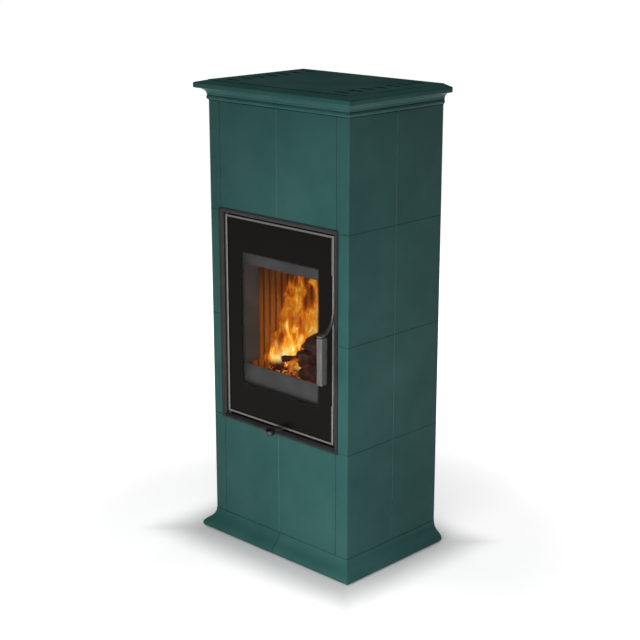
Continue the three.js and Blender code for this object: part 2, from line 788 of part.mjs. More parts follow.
function airSlide() {
  const leverFront = -(knobProud - knobRadius) - seat;
  const half = leverWidth / 2;
  const plateFront = plateBack + slideSetBack;
  const top = leverHeight + leverThickness;
  const lever = block(-half, half, leverFront, plateFront + 1, leverHeight, top);
  const tang = block(-tangWidth / 2, tangWidth / 2, -knobProud - tangLength, leverFront + 1,
    leverHeight, top);
  const plate = block(-slidePlateWidth / 2, slidePlateWidth / 2, plateFront, plateFront + slidePlateDepth,
    leverHeight, top);
  return cut(join([lever, tang, plate]), airPorts(plateFront, leverHeight - 1, top + 1));
}

// Ports are the same in the slide and in the plate under it.
function airPorts(front, z0, z1) {
  const pitch = slidePlateWidth / (portCount + 0.5);
  const ports = [];
  for (let i = 0; i < portCount; i += 1) {
    const x = (i - (portCount - 1) / 2) * pitch;
    const shape = rectangle(x - portWidth / 2, x + portWidth / 2, front + portMargin,
      front + slidePlateDepth - portMargin, 3);
    ports.push(raise(shape, z0, z1));
  }
  return ports;
}

addPiece('air_slide', airSlide(), finish.greySteel, slide);

function airKnob() {
  const edge = knobEdge;
  const half = knobHeight / 2;
  const profile = [
    [0, -half],
    ...arc(knobRadius - edge, -half + edge, edge, edge, -90, 0, 3),
    ...arc(knobRadius - edge, half - edge, edge, edge, 0, 90, 3),
    [0, half],
  ];
  const disc = turned(profile, 24).translate(0, -knobProud, leverHeight + leverThickness / 2 - knobDrop);
  const slot = block(-tangWidth / 2 - seat, tangWidth / 2 + seat, -knobProud - tangLength - seat, 0,
    leverHeight - seat, leverHeight + leverThickness + seat);
  return cut(disc, [slot]);
}

addPiece('air_knob', airKnob(), finish.knob, slide);

// The air box hangs under the fire chamber. Its floor holds the ports that the slide opens and shuts.
function airBox() {
  const inner = slidePlateWidth / 2 + slideTravel + airBoxMargin;
  const outer = inner + sheet;
  const floorTop = leverHeight - seat;
  const front = plateBack + seat;
  const back = front + airBoxDepth;
  const outside = block(leverOffset - outer, leverOffset + outer, front, back + sheet, floorTop - sheet,
    chamberBottom - seat);
  const inside = block(leverOffset - inner, leverOffset + inner, front - 1, back, floorTop, chamberBottom);
  const ports = airPorts(plateBack + slideSetBack, floorTop - sheet - 1, floorTop + 1);
  return cut(outside, [inside, ...ports.map((port) => port.translate(leverOffset, 0, 0))]);
}

addPiece('air_box', airBox(), finish.greySteel);

// ---------------------------------------------------------------- fire chamber
function facePlate() {
  const halfX = openingHalf - 1;
  const shape = rectangle(-halfX, halfX, openingBottom + 1, openingTop - 1, 2);
  shape.holes.push(rectangle(-throatHalf, throatHalf, throatBottom, throatTop, 3, THREE.Path));
  const panHalf = panWidth / 2 + panSetBack;
  shape.holes.push(rectangle(-panHalf, panHalf, chamberBottom + sheet, hearthBottom, 3, THREE.Path));
  const plate = deepen(shape, plateSetBack, plateBack);
  const reach = leverWidth / 2 + slideTravel + 2;
  const leverSlot = block(leverOffset - reach, leverOffset + reach, plateSetBack - 1, plateBack + 1,
    leverHeight - leverClearance, leverHeight + leverThickness + leverClearance);
  return cut(plate, [leverSlot]);
}

addPiece('face_plate', facePlate(), finish.greySteel);

function chamberFloor() {
  const plate = block(-chamberHalf, chamberHalf, innerFront, chamberBack,
    chamberBottom, chamberBottom + sheet);
  const slots = [];
  for (let i = 0; i < floorSlots; i += 1) {
    const x = leverOffset + (i - (floorSlots - 1) / 2) * floorSlotPitch;
    const y = innerFront + airBoxDepth - floorSlotWidth;
    const half = floorSlotWidth / 2;
    const reach = floorSlotLength / 2;
    const shape = rectangle(x - reach, x + reach, y - half, y + half, half - 0.1);
    slots.push(raise(shape, chamberBottom - 1, chamberBottom + sheet + 1));
  }
  return cut(plate, slots);
}

addPiece('firebox_floor', chamberFloor(), finish.greySteel);
addPiece('firebox_roof',
  block(-chamberHalf, chamberHalf, innerFront, chamberBack, chamberTop - sheet, chamberTop),
  finish.greySteel);

const wallBottom = chamberBottom + sheet + seat;
const wallTop = chamberTop - sheet - seat;

function backWall() {
  const wall = block(-chamberHalf, chamberHalf, backInside, chamberBack, wallBottom, wallTop);
  const outlet = new THREE.CylinderGeometry(flueRadius - flueWall, flueRadius - flueWall, 20, 32);
  return cut(wall, [outlet.translate(0, backInside, flueHeight)]);
}

addPiece('firebox_back', backWall(), finish.greySteel);

sides.forEach(([name, side]) => {
  const wall = block(chamberHalf - sheet, chamberHalf, innerFront, backInside - seat, wallBottom, wallTop);
  addPiece(`firebox_wall_${name}`, mirrored(wall, side), finish.greySteel);
  const cheek = block(throatHalf, throatHalf + sheet, innerFront, innerFront + throatDepth,
    throatBottom - cheekFoot, throatTop + cheekHead);
  addPiece(`throat_cheek_${name}`, mirrored(cheek, side), finish.greySteel);
});

// A cast lining panel: flat behind, with upright half-round ribs on the side of the fire.
function ribbedPanel(length, thickness) {
  const ribs = Math.floor(length / ribPitch);
  const margin = (length - ribs * ribPitch) / 2;
  const points = [[0, 0], [length, 0]];
  for (let i = ribs - 1; i >= 0; i -= 1) {
    const middle = margin + (i + 0.5) * ribPitch;
    points.push(...arc(middle, thickness - ribHeight, ribPitch / 2 - ribGroove, ribHeight, 0, 180, 5));
  }
  points.push([0, thickness - ribHeight]);
  points.splice(2, 0, [length, thickness - ribHeight]);
  return new THREE.Shape(points.map(([x, y]) => new THREE.Vector2(x, y)));
}

const liningBottom = hearthTop + seat;
const backLining = raise(ribbedPanel(2 * liningX, liningThickness), liningBottom, liningTop);
backLining.rotateZ(Math.PI).translate(liningX, backInside - seat, 0);
addPiece('lining_back', backLining, finish.iron);

sides.forEach(([name, side]) => {
  const length = backInside - 2 * seat - liningThickness - liningFront;
  const panel = raise(ribbedPanel(length, liningThickness), liningBottom, liningTop);
  panel.rotateZ(Math.PI / 2).translate(liningX, liningFront, 0);
  addPiece(`lining_${name}`, mirrored(panel, side), finish.iron);
});

function hearthPlate() {
  const plate = block(-liningX, liningX, innerFront, backInside - seat, hearthBottom, hearthTop);
  const well = (inset, z0) => block(inset - grateWidth / 2, grateWidth / 2 - inset,
    grateMiddle - grateDepth / 2 + inset, grateMiddle + grateDepth / 2 - inset, z0, hearthTop + 1);
  const rebate = well(0, hearthTop - grateRebate - seat);
  const hole = well(grateLedge, hearthBottom - 1);
  return cut(plate, [rebate, hole]);
}

addPiece('hearth_plate', hearthPlate(), finish.iron);

function grate() {
  const halfX = grateWidth / 2 - seat;
  const halfY = grateDepth / 2 - seat;
  const barX = halfX - grateLedge - 1;
  const barY = halfY - grateLedge - 1;
  const flange = block(-halfX, halfX, -halfY, halfY, hearthTop - grateRebate, hearthTop);
  const bars = block(-barX, barX, -barY, barY, hearthTop - grateThickness, hearthTop - 1);
  const half = grateSlotWidth / 2;
  const pitch = (2 * barX - grateSlotWidth) / grateSlots;
  const slots = [];
  for (let i = 0; i < grateSlots; i += 1) {
    const x = (i - (grateSlots - 1) / 2) * pitch;
    const slot = rectangle(x - half, x + half, grateLedge - barY, barY - grateLedge, half - 0.1);
    slots.push(raise(slot, hearthTop - grateThickness - 1, hearthTop + 1));
  }
  return cut(join([flange, bars]), slots).translate(0, grateMiddle, 0);
}

addPiece('grate', grate(), finish.iron);

function ashPan() {
  const front = innerFront + panSetBack;
  const half = panWidth / 2;
  const tray = block(-half, half, front, front + panDepth, panBottom, panTop);
  const inside = block(panWall - half, half - panWall, front + panWall, front + panDepth - panWall,
    panBottom + panWall, panTop + 1);
  const pull = block(-pullWidth / 2, pullWidth / 2, front - panSetBack + 1, front + 1,
    panTop - 3 * panWall, panTop - 2 * panWall);
  return join([cut(tray, [inside]), pull]);
}

addPiece('ash_pan', ashPan(), finish.greySteel);

addPiece('baffle_plate', block(-liningX, liningX, baffleFront, backInside - seat,
  baffleBottom, baffleBottom + baffleThickness), finish.iron);

function flueCollar() {
  const inner = flueRadius - flueWall;
  const front = chamberBack + seat;
  const step = front + flueFlangeThickness;
  const profile = [[inner, front], [flueRadius + flueFlange, front], [flueRadius + flueFlange, step],
    [flueRadius, step], [flueRadius, bodyDepth - seat], [inner, bodyDepth - seat], [inner, front]];
  const lathe = new THREE.LatheGeometry(profile.map(([r, y]) => new THREE.Vector2(r, y)), 32);
  return lathe.translate(0, 0, flueHeight);
}

addPiece('flue_collar', flueCollar(), finish.blackSteel);

// ---------------------------------------------------------------- stand and rear panel
sides.forEach(([name, side]) => {
  const inner = chamberHalf - standInset;
  const stand = block(inner, inner + standSheet, standFront, chamberBack - standBack,
    0, chamberBottom - seat);
  addPiece(`stand_${name}`, mirrored(stand, side), finish.blackSteel);
});

// The rear panel comes in two halves that meet round the flue collar.
function rearPanel(z0, z1, lowestVent) {
  const halfX = halfWidth - wallDepth - seat;
  const shoulder = halfWidth - corniceWall - seat;
  const step = corniceFoot + corniceSole + seat;
  const outline = z1 < step
    ? [[-halfX, z0, 0], [halfX, z0, 0], [halfX, z1, 0], [-halfX, z1, 0]]
    : [[-halfX, z0, 0], [halfX, z0, 0], [halfX, step, 0], [shoulder, step, 1],
      [shoulder, z1, 1], [-shoulder, z1, 1], [-shoulder, step, 1], [-halfX, step, 0]];
  const shape = roundedOutline(outline);
  for (let i = 0; i < rearVents; i += 1) {
    sides.forEach(([, side]) => {
      const x = side * rearVentOffset;
      const z = lowestVent + i * rearVentPitch;
      const half = rearVentWidth / 2;
      const reach = rearVentLength / 2;
      shape.holes.push(rectangle(x - reach, x + reach, z - half, z + half, half - 0.1, THREE.Path));
    });
  }
  const back = bodyDepth - rearSetBack;
  const plate = deepen(shape, back - rearSheet, back, 2);
  const clear = flueRadius + flueClearance;
  const hole = new THREE.CylinderGeometry(clear, clear, 4 * rearSheet, 32);
  return cut(plate, [hole.translate(0, back, flueHeight)]);
}

const rearLower = rearPanel(0, flueHeight - seat / 2, rearVentLow);
addPiece('rear_panel_lower', rearLower, finish.blackSteel);
const rearUpper = rearPanel(flueHeight + seat / 2, ledge - seat, flueHeight + rearVentRise);
addPiece('rear_panel_upper', rearUpper, finish.blackSteel);

export default stove;
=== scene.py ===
"""Tall free-standing wood stove in glazed tiles, with its fire, floor, light and camera."""
import json
import math
import random

import bmesh
import bpy
from mathutils import Euler, Matrix, Vector, noise


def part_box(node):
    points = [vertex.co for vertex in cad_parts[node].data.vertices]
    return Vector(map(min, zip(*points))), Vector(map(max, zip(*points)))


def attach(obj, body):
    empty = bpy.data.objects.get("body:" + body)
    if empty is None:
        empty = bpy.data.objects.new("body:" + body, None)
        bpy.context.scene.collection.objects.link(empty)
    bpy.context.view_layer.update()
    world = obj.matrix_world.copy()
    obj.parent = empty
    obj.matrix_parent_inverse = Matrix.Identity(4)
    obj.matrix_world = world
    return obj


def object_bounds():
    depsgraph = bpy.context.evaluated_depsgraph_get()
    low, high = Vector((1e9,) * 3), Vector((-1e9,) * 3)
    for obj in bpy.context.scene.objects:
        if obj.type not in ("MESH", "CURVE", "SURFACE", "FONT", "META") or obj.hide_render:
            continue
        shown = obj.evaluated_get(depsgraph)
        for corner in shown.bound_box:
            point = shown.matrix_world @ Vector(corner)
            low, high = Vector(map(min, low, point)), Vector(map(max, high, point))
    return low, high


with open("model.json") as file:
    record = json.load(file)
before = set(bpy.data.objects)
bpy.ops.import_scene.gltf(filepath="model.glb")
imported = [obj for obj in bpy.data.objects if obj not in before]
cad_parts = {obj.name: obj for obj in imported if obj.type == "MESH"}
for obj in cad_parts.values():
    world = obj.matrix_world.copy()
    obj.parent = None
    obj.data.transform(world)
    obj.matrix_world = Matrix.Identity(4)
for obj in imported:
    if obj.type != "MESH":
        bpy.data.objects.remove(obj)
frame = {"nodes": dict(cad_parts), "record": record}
CAD_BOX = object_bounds()

# ------------------------------------------------------------------ places, in metres
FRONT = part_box("front_tile_lower_left")[0][1]
WINDOW_HALF = 0.158
WINDOW_BOTTOM = 0.503
WINDOW_TOP = 0.909
WINDOW_CENTRE = (WINDOW_BOTTOM + WINDOW_TOP) / 2
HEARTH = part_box("hearth_plate")[1][2]
FIRE_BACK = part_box("lining_back")[0][1]
SIDE_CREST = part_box("lining_right")[0][0]
RIB_HEIGHT = 0.005
GROUT_WIDTH = 0.0028
GROUT_SETBACK = 0.0015
SEAM_WIDTH = 0.0022
SEAM_SETBACK = 0.0012
SLOT_SHADE = 0.0004
BODY_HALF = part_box("corner_tile_right_1")[1][0]
BODY_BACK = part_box("side_tile_right_1")[1][1]
FRONT_TILE_EDGE = -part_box("front_tile_lower_left")[0][0]
TOP_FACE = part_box("top_plate")[1][2]
TOP_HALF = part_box("top_plate")[1][0] - 0.006

# ------------------------------------------------------------------ camera
LENS = 80.96
CAMERA = Vector((2.8753, -2.9856, 1.8818))
YAW = math.radians(-43.868)
PITCH = math.radians(15.956)


# ------------------------------------------------------------------ materials
class Finish:
    """A Principled material whose detail comes from the object's own coordinates."""

    def __init__(self, name, **plain):
        self.material = bpy.data.materials.new(name)
        self.material.use_nodes = True
        self.tree = self.material.node_tree
        self.shader = self.tree.nodes["Principled BSDF"]
        self.position = self.tree.nodes.new("ShaderNodeTexCoord").outputs["Object"]
        for socket, value in plain.items():
            self.set(socket.replace("_", " "), value)

    def socket(self, name):
        for candidate in self.shader.inputs:
            if candidate.name.lower() == name.lower():
                return candidate
        raise KeyError(name)

    def set(self, name, value):
        self.join(value, self.socket(name))
        return self

    def join(self, value, target):
        if isinstance(value, bpy.types.NodeSocket):
            self.tree.links.new(value, target)
        else:
            target.default_value = value

    def node(self, kind, output=0, inputs=None, **settings):
        node = self.tree.nodes.new("ShaderNode" + kind)
        for key, value in settings.items():
            setattr(node, key, value)
        for key, value in (inputs or {}).items():
            self.join(value, node.inputs[key])
        return node.outputs[output]

    def stretched(self, scale, vector=None):
        return self.node("Mapping", inputs={"Vector": vector or self.position, "Scale": scale})

    def noise(self, scale, detail=4.0, stretch=None, roughness=0.55, distortion=0.0):
        vector = self.stretched(stretch) if stretch else self.position
        return self.node("TexNoise", inputs={"Vector": vector, "Scale": scale, "Detail": detail,
                                             "Roughness": roughness, "Distortion": distortion})

    def cells(self, scale, stretch=None, feature="F1"):
        vector = self.stretched(stretch) if stretch else self.position
        return self.node("TexVoronoi", inputs={"Vector": vector, "Scale": scale}, feature=feature)

    def axis(self, index):
        return self.node("SeparateXYZ", output=index, inputs={0: self.position})

    def math(self, operation, first, second=0.0, third=0.0):
        return self.node("Math", inputs={0: first, 1: second, 2: third}, operation=operation)

    def span(self, value, low, high, out_low=0.0, out_high=1.0, smooth=True):
        kind = "SMOOTHSTEP" if smooth else "LINEAR"
        return self.node("MapRange", inputs={"Value": value, "From Min": low, "From Max": high,
                                             "To Min": out_low, "To Max": out_high},
                         interpolation_type=kind)

    def ramp(self, value, *stops):
        node = self.tree.nodes.new("ShaderNodeValToRGB")
        self.join(value, node.inputs["Fac"])
        elements = node.color_ramp.elements
        while len(elements) < len(stops):
            elements.new(0.5)
        for element, (place, colour) in zip(elements, stops):
            element.position = place
            element.color = (*colour, 1.0)
        return node.outputs["Color"]

    def blend(self, factor, first, second, mode="MIX"):
        node = self.tree.nodes.new("ShaderNodeMix")
        node.data_type = "RGBA"
        node.blend_type = mode
        self.join(factor, node.inputs["Factor"])
        for value, target in ((first, node.inputs[6]), (second, node.inputs[7])):
            self.join(value if isinstance(value, bpy.types.NodeSocket) else (*value, 1.0), target)
        return node.outputs[2]

    def bump(self, *layers):
        normal = None
        for height, distance in layers:
            inputs = {"Height": height, "Distance": distance, "Strength": 1.0}
            if normal:
                inputs["Normal"] = normal
            normal = self.node("Bump", inputs=inputs)
        self.join(normal, self.shader.inputs["Normal"])
        return self


def glaze(name="glaze", painted_slot_shade=None):
    """Teal glaze. With a second argument, (height, half width), what lies lower and further in gets near-black
    painted shade, the shade inside the vent slots.
    """
    finish = Finish(name, specular_IOR_level=0.07)
    clouds = finish.noise(4.5, detail=3.0)
    specks = finish.noise(150.0, detail=3.0, roughness=0.7)
    body = finish.ramp(clouds, (0.28, (0.020, 0.077, 0.072)), (0.5, (0.027, 0.092, 0.085)),
                       (0.72, (0.037, 0.108, 0.1)))
    body = finish.blend(finish.span(specks, 0.55, 0.78, 0.0, 0.3), body, (0.014, 0.052, 0.049))
    if painted_slot_shade:
        height, half = painted_slot_shade
        # Painted shade: the walls of the vent slots are coloured near black.
        sunk = finish.span(finish.axis(2), height - SLOT_SHADE, height, 1.0, 0.0)
        inner = finish.span(finish.math("ABSOLUTE", finish.axis(0)), half - SLOT_SHADE, half, 1.0, 0.0)
        body = finish.blend(finish.math("MULTIPLY", sunk, inner), body, (0.003, 0.005, 0.005))
    finish.set("Base Color", body)
    finish.set("Roughness", finish.span(finish.noise(14.0), 0.3, 0.7, 0.3, 0.42))
    return finish.bump((finish.noise(7.0, detail=2.0), 0.0012), (finish.noise(85.0, detail=2.0), 0.0001))


def painted(name, dark, light, roughness, grain=900.0):
    finish = Finish(name, specular_IOR_level=0.15)
    finish.set("Base Color", finish.ramp(finish.noise(18.0), (0.3, dark), (0.7, light)))
    finish.set("Roughness", finish.span(finish.noise(40.0), 0.3, 0.7, roughness - 0.06, roughness + 0.06))
    return finish.bump((finish.noise(grain, detail=2.0), 0.00012))


def brushed(name, dark, light, stretch, roughness):
    finish = Finish(name, metallic=1.0)
    lines = finish.noise(700.0, detail=3.0, stretch=stretch)
    finish.set("Base Color", finish.ramp(lines, (0.3, dark), (0.7, light)))
    finish.set("Roughness", finish.span(lines, 0.3, 0.7, roughness - 0.07, roughness + 0.07))
    return finish.bump((lines, 0.00005))


def fire_brick():
    """Sooty ribbed clay with painted shade darkening its grooves and painted firelight glowing low down."""
    finish = Finish("fire_brick", specular_IOR_level=0.05)
    grain = finish.noise(240.0, detail=5.0, roughness=0.7)
    colour = finish.ramp(grain, (0.3, (0.085, 0.04, 0.013)), (0.7, (0.15, 0.075, 0.026)))
    stain = finish.noise(16.0, detail=5.0, stretch=(1.0, 1.0, 0.45))
    high = finish.span(finish.axis(2), 0.62, 0.92)
    soot = finish.span(finish.math("ADD", stain, finish.math("MULTIPLY", high, 0.2)), 0.5, 0.9, 0.0, 0.7)
    # Painted shade: the clay darkens towards the bottom of each groove between the ribs.
    side_groove_shade = finish.span(finish.math("ABSOLUTE", finish.axis(0)), SIDE_CREST, SIDE_CREST + RIB_HEIGHT)
    back_groove_shade = finish.span(finish.axis(1), FIRE_BACK, FIRE_BACK + RIB_HEIGHT)
    painted_groove_shade = finish.span(finish.math("MAXIMUM", side_groove_shade, back_groove_shade), 0.1, 1.0, 0.0, 0.65)
    # dark joins the real soot with the painted groove shade.
    dark = finish.math("MAXIMUM", soot, painted_groove_shade)
    finish.set("Base Color", finish.blend(dark, colour, (0.012, 0.006, 0.003)))
    finish.set("Roughness", finish.span(stain, 0.3, 0.7, 0.8, 0.95))
    # Painted firelight: the lining itself glows orange, most low down and least where it is dark.
    warmth = finish.math("ADD", finish.span(high, 0.0, 1.0, 0.17, 0.0), finish.math(
        "MULTIPLY", finish.math("SUBTRACT", stain, 0.5), 0.12))
    finish.set("Emission Color", finish.ramp(grain, (0.3, (1.0, 0.2, 0.012)), (0.7, (1.0, 0.25, 0.02))))
    finish.set("Emission Strength", finish.math("MULTIPLY", warmth, finish.math("SUBTRACT", 1.0, dark)))
    return finish.bump((grain, 0.0006), (finish.cells(330.0), 0.0003))


def cast_iron():
    finish = Finish("grate_iron", specular_IOR_level=0.35)
    grit = finish.noise(420.0, detail=4.0, roughness=0.7)
    colour = finish.ramp(grit, (0.3, (0.022, 0.02, 0.019)), (0.7, (0.06, 0.055, 0.05)))
    ash = finish.span(finish.noise(22.0, detail=5.0), 0.56, 0.74, 0.0, 0.5)
    finish.set("Base Color", finish.blend(ash, colour, (0.15, 0.14, 0.13)))
    finish.set("Roughness", finish.span(grit, 0.3, 0.7, 0.55, 0.8))
    return finish.bump((grit, 0.0004))


def window_mask(finish, soft):
    across = finish.math("SUBTRACT", finish.math("ABSOLUTE", finish.axis(0)), WINDOW_HALF)
    height = finish.math("ABSOLUTE", finish.math("SUBTRACT", finish.axis(2), WINDOW_CENTRE))
    along = finish.math("SUBTRACT", height, (WINDOW_TOP - WINDOW_BOTTOM) / 2)
    outside = finish.math("MAXIMUM", across, along)
    return finish.span(outside, -soft, soft, 1.0, 0.0)


def door_glass():
    finish = Finish("door_glass", specular_IOR_level=0.04, roughness=0.25)
    clear = window_mask(finish, 0.0045)
    veil = finish.span(finish.noise(11.0, detail=5.0), 0.45, 0.75, 0.0, 0.06)
    finish.set("Base Color", finish.blend(clear, (0.0048, 0.0044, 0.0032), (0.03, 0.028, 0.026)))
    clear_alpha = finish.math("ADD", veil, 0.05)
    finish.set("Alpha", finish.math("SUBTRACT", 1.0, finish.math(
        "MULTIPLY", clear, finish.math("SUBTRACT", 1.0, clear_alpha))))
    return finish.bump((finish.noise(3.0, detail=1.0), 0.0004))


def seal_rope():
    finish = Finish("seal_rope", roughness=0.9, specular_IOR_level=0.1)
    braid = finish.node("TexWave", inputs={"Vector": finish.position, "Scale": 95.0, "Distortion": 4.0,
                                           "Detail": 2.0}, bands_direction="DIAGONAL")
    finish.set("Base Color", finish.ramp(braid, (0.2, (0.02, 0.02, 0.02)), (0.8, (0.11, 0.105, 0.1))))
    return finish.bump((braid, 0.0008))


def knob_plastic():
    finish = Finish("knob_black", specular_IOR_level=0.4)
    grain = finish.noise(1400.0, detail=2.0)
    finish.set("Base Color", finish.ramp(grain, (0.3, (0.008, 0.008, 0.008)), (0.7, (0.018, 0.018, 0.019))))
    finish.set("Roughness", finish.span(finish.noise(60.0), 0.3, 0.7, 0.3, 0.42))
    return finish.bump((grain, 0.00008))


def grout(name, dark, light):
    finish = Finish(name, roughness=0.85, specular_IOR_level=0.1)
    grain = finish.noise(500.0, detail=4.0)
    finish.set("Base Color", finish.ramp(grain, (0.3, dark), (0.7, light)))
    return finish.bump((grain, 0.0002))


def charred_wood():
    finish = Finish("charred_wood", specular_IOR_level=0.25)
    cracks = finish.cells(75.0, stretch=(1.0, 1.0, 1.0), feature="DISTANCE_TO_EDGE")
    grain = finish.noise(90.0, detail=6.0, stretch=(0.35, 1.0, 1.0))
    colour = finish.ramp(grain, (0.3, (0.008, 0.006, 0.005)), (0.6, (0.03, 0.02, 0.015)),
                         (0.8, (0.09, 0.065, 0.05)))
    low = finish.span(finish.axis(2), HEARTH + 0.07, HEARTH + 0.2, 0.8, 0.12)
    split = finish.span(cracks, 0.0, 0.1, 1.0, 0.0)
    patch = finish.span(finish.noise(26.0, detail=3.0), 0.5, 0.62)
    left = finish.span(finish.axis(0), -0.06, 0.04, 1.0, 0.2)
    heat = finish.math("MULTIPLY", finish.math("MULTIPLY", split, patch), finish.math("MULTIPLY", low, left))
    finish.set("Base Color", colour)
    finish.set("Roughness", finish.span(grain, 0.3, 0.7, 0.7, 0.95))
    finish.set("Emission Color", finish.ramp(heat, (0.0, (0.5, 0.03, 0.0)), (0.5, (1.0, 0.16, 0.01)),
                                             (1.0, (1.0, 0.55, 0.12))))
    finish.set("Emission Strength", finish.math("ADD", finish.math("MULTIPLY", heat, 1.4), 0.025))
    return finish.bump((grain, 0.003), (cracks, 0.002))


def ember_glow():
    finish = Finish("ember", roughness=0.9, specular_IOR_level=0.05)
    crust = finish.noise(130.0, detail=5.0, roughness=0.7)
    patch = finish.noise(19.0, detail=2.0)
    ash = finish.span(crust, 0.44, 0.62)
    finish.set("Base Color", finish.blend(ash, (0.012, 0.007, 0.005), (0.06, 0.05, 0.045)))
    finish.set("Emission Color", finish.ramp(crust, (0.3, (1.0, 0.62, 0.14)), (0.46, (1.0, 0.24, 0.015)),
                                             (0.62, (0.5, 0.03, 0.0))))
    left = finish.span(finish.axis(0), -0.06, 0.06, 1.0, 0.12)
    finish.set("Emission Strength", finish.math("MULTIPLY", finish.span(crust, 0.36, 0.6, 2.4, 0.0), finish.math(
        "MULTIPLY", left, finish.span(patch, 0.3, 0.55, 1.0, 0.35))))
    return finish.bump((crust, 0.002))


def flame(name, cover, fire, warmth):
    """Fire in a thin sheet: a hot middle that swings to and fro, orange edges and a ragged tip."""
    finish = Finish(name, roughness=1.0, specular_IOR_level=0.0)
    uv = finish.tree.nodes.new("ShaderNodeUVMap").outputs["UV"]
    across = finish.node("SeparateXYZ", output=0, inputs={0: uv})
    along = finish.node("SeparateXYZ", output=1, inputs={0: uv})
    swing = finish.math("SUBTRACT", finish.noise(20.0, detail=2.0, stretch=(1.0, 1.0, 0.5), distortion=0.6), 0.5)
    sway = finish.math("MULTIPLY", swing, finish.math("ADD", finish.math("MULTIPLY", along, 1.1), 0.3))
    away = finish.math("ABSOLUTE", finish.math("ADD", finish.math("SUBTRACT", across, 0.5), sway))
    reach = finish.math("SUBTRACT", 0.5, finish.math("MULTIPLY", finish.math("MULTIPLY", along, along), 0.42))
    heat = finish.math("SUBTRACT", 1.0, finish.math("DIVIDE", away, reach))
    streaks = finish.noise(36.0, detail=2.0, stretch=(1.0, 1.0, 0.22), distortion=0.9)
    wisps = finish.noise(34.0, detail=2.0, stretch=(1.0, 1.0, 0.35), distortion=2.4)
    thread = finish.span(finish.math("ABSOLUTE", finish.math("SUBTRACT", wisps, 0.5)), 0.0, 0.035, 1.0, 0.0)
    heat = finish.math("ADD", heat, finish.math("MULTIPLY", finish.math("SUBTRACT", streaks, 0.5), 1.7))
    heat = finish.math("SUBTRACT", heat, finish.math("MULTIPLY", along, 0.25))
    inside = finish.math("SUBTRACT", 0.5, finish.math("ABSOLUTE", finish.math("SUBTRACT", across, 0.5)))
    fade = finish.math("MULTIPLY", finish.span(along, 0.0, 0.14), finish.span(inside, 0.0, 0.16))
    fade = finish.math("MULTIPLY", fade, finish.span(along, 0.8, 1.0, 1.0, 0.0))
    body = finish.math("MULTIPLY", finish.span(heat, 0.0, 0.5), fade)
    glow = finish.math("ADD", heat, finish.math("MULTIPLY", thread, 0.22))
    finish.set("Base Color", (0.0, 0.0, 0.0, 1.0))
    finish.set("Emission Color", finish.ramp(finish.math("ADD", glow, warmth), (0.05, (0.4, 0.06, 0.003)),
                                             (0.32, (0.75, 0.18, 0.008)), (0.6, (0.95, 0.38, 0.025)),
                                             (0.82, (1.0, 0.62, 0.1)), (1.0, (1.0, 0.88, 0.4))))
    finish.set("Emission Strength", fire)
    finish.set("Alpha", finish.math("MULTIPLY", body, finish.math(
        "ADD", finish.math("MULTIPLY", thread, 0.15), cover)))
    return finish


def floor_white():
    finish = Finish("floor", roughness=0.9, specular_IOR_level=0.0)
    reach = finish.node("VectorMath", output=1, inputs={0: finish.position}, operation="LENGTH")
    far = finish.span(reach, 0.6, 1.5)
    # Painted shade around the stove: the floor's glow is weakest at the footprint and grows over 16 cm, so the floor
    # darkens there as well as showing the lamps' real shadow.
    foot = [finish.math("SUBTRACT", finish.math("ABSOLUTE", finish.axis(index)), CAD_BOX[1][index])
            for index in (0, 1)]
    painted_foot_shade = finish.span(finish.math("MAXIMUM", *foot), -0.01, 0.16, 0.03, 0.5)
    finish.set("Base Color", finish.ramp(finish.noise(1.3), (0.3, (0.8, 0.8, 0.8)), (0.7, (0.84, 0.84, 0.84))))
    path = finish.tree.nodes.new("ShaderNodeLightPath").outputs
    seen = finish.math("MAXIMUM", path["Is Camera Ray"], path["Is Transmission Ray"])
    seen = finish.math("MAXIMUM", seen, path["Is Glossy Ray"])
    finish.set("Emission Color", (1.0, 1.0, 1.0, 1.0))
    finish.set("Emission Strength", finish.math("MULTIPLY", seen, finish.math(
        "ADD", finish.math("MULTIPLY", far, 0.5), painted_foot_shade)))
    return finish


STEEL_GREY = painted("grey_steel", (0.05, 0.049, 0.049), (0.07, 0.068, 0.068), 0.55)
FINISHES = {
    "glaze": glaze(),
    "black_steel": painted("black_steel", (0.013, 0.0135, 0.014), (0.022, 0.0225, 0.024), 0.42),
    "rim_steel": brushed("rim_steel", (0.13, 0.122, 0.118), (0.2, 0.19, 0.18), (1.0, 1.0, 1.0), 0.42),
    "grey_steel": STEEL_GREY,
    "handle_steel": brushed("handle_steel", (0.1, 0.096, 0.09), (0.2, 0.19, 0.18), (1.0, 1.0, 0.06), 0.48),
    "fire_brick": fire_brick(),
    "grate_iron": cast_iron(),
    "door_glass": door_glass(),
    "seal_rope": seal_rope(),
    "knob_black": knob_plastic(),
}


def dress_nodes():
    slots = {part["node"]: part["material_slot"] for part in frame["record"]["subparts"]}
    # The top plate's glaze has painted shade in its vent slots.
    special = {"top_plate": glaze("glaze_top_painted_slot_shade", (TOP_FACE - 0.0003, TOP_HALF))}
    for name, thing in frame["nodes"].items():
        thing.data.materials.clear()
        thing.data.materials.append(special.get(name, FINISHES[slots[name]]).material)


# ------------------------------------------------------------------ piece helpers
def piece(name, mesh, finish, smooth=True, body="casing"):
    thing = bpy.data.objects.new(name, mesh)
    bpy.context.scene.collection.objects.link(thing)
    mesh.materials.append(finish.material)
    for face in mesh.polygons:
        face.use_smooth = smooth
    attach(thing, body)
    return thing


def mesh_of(name, build):
    mesh = bpy.data.meshes.new(name)
    shape = bmesh.new()
    build(shape)
    bmesh.ops.recalc_face_normals(shape, faces=shape.faces)
    shape.to_mesh(mesh)
    shape.free()
    return mesh


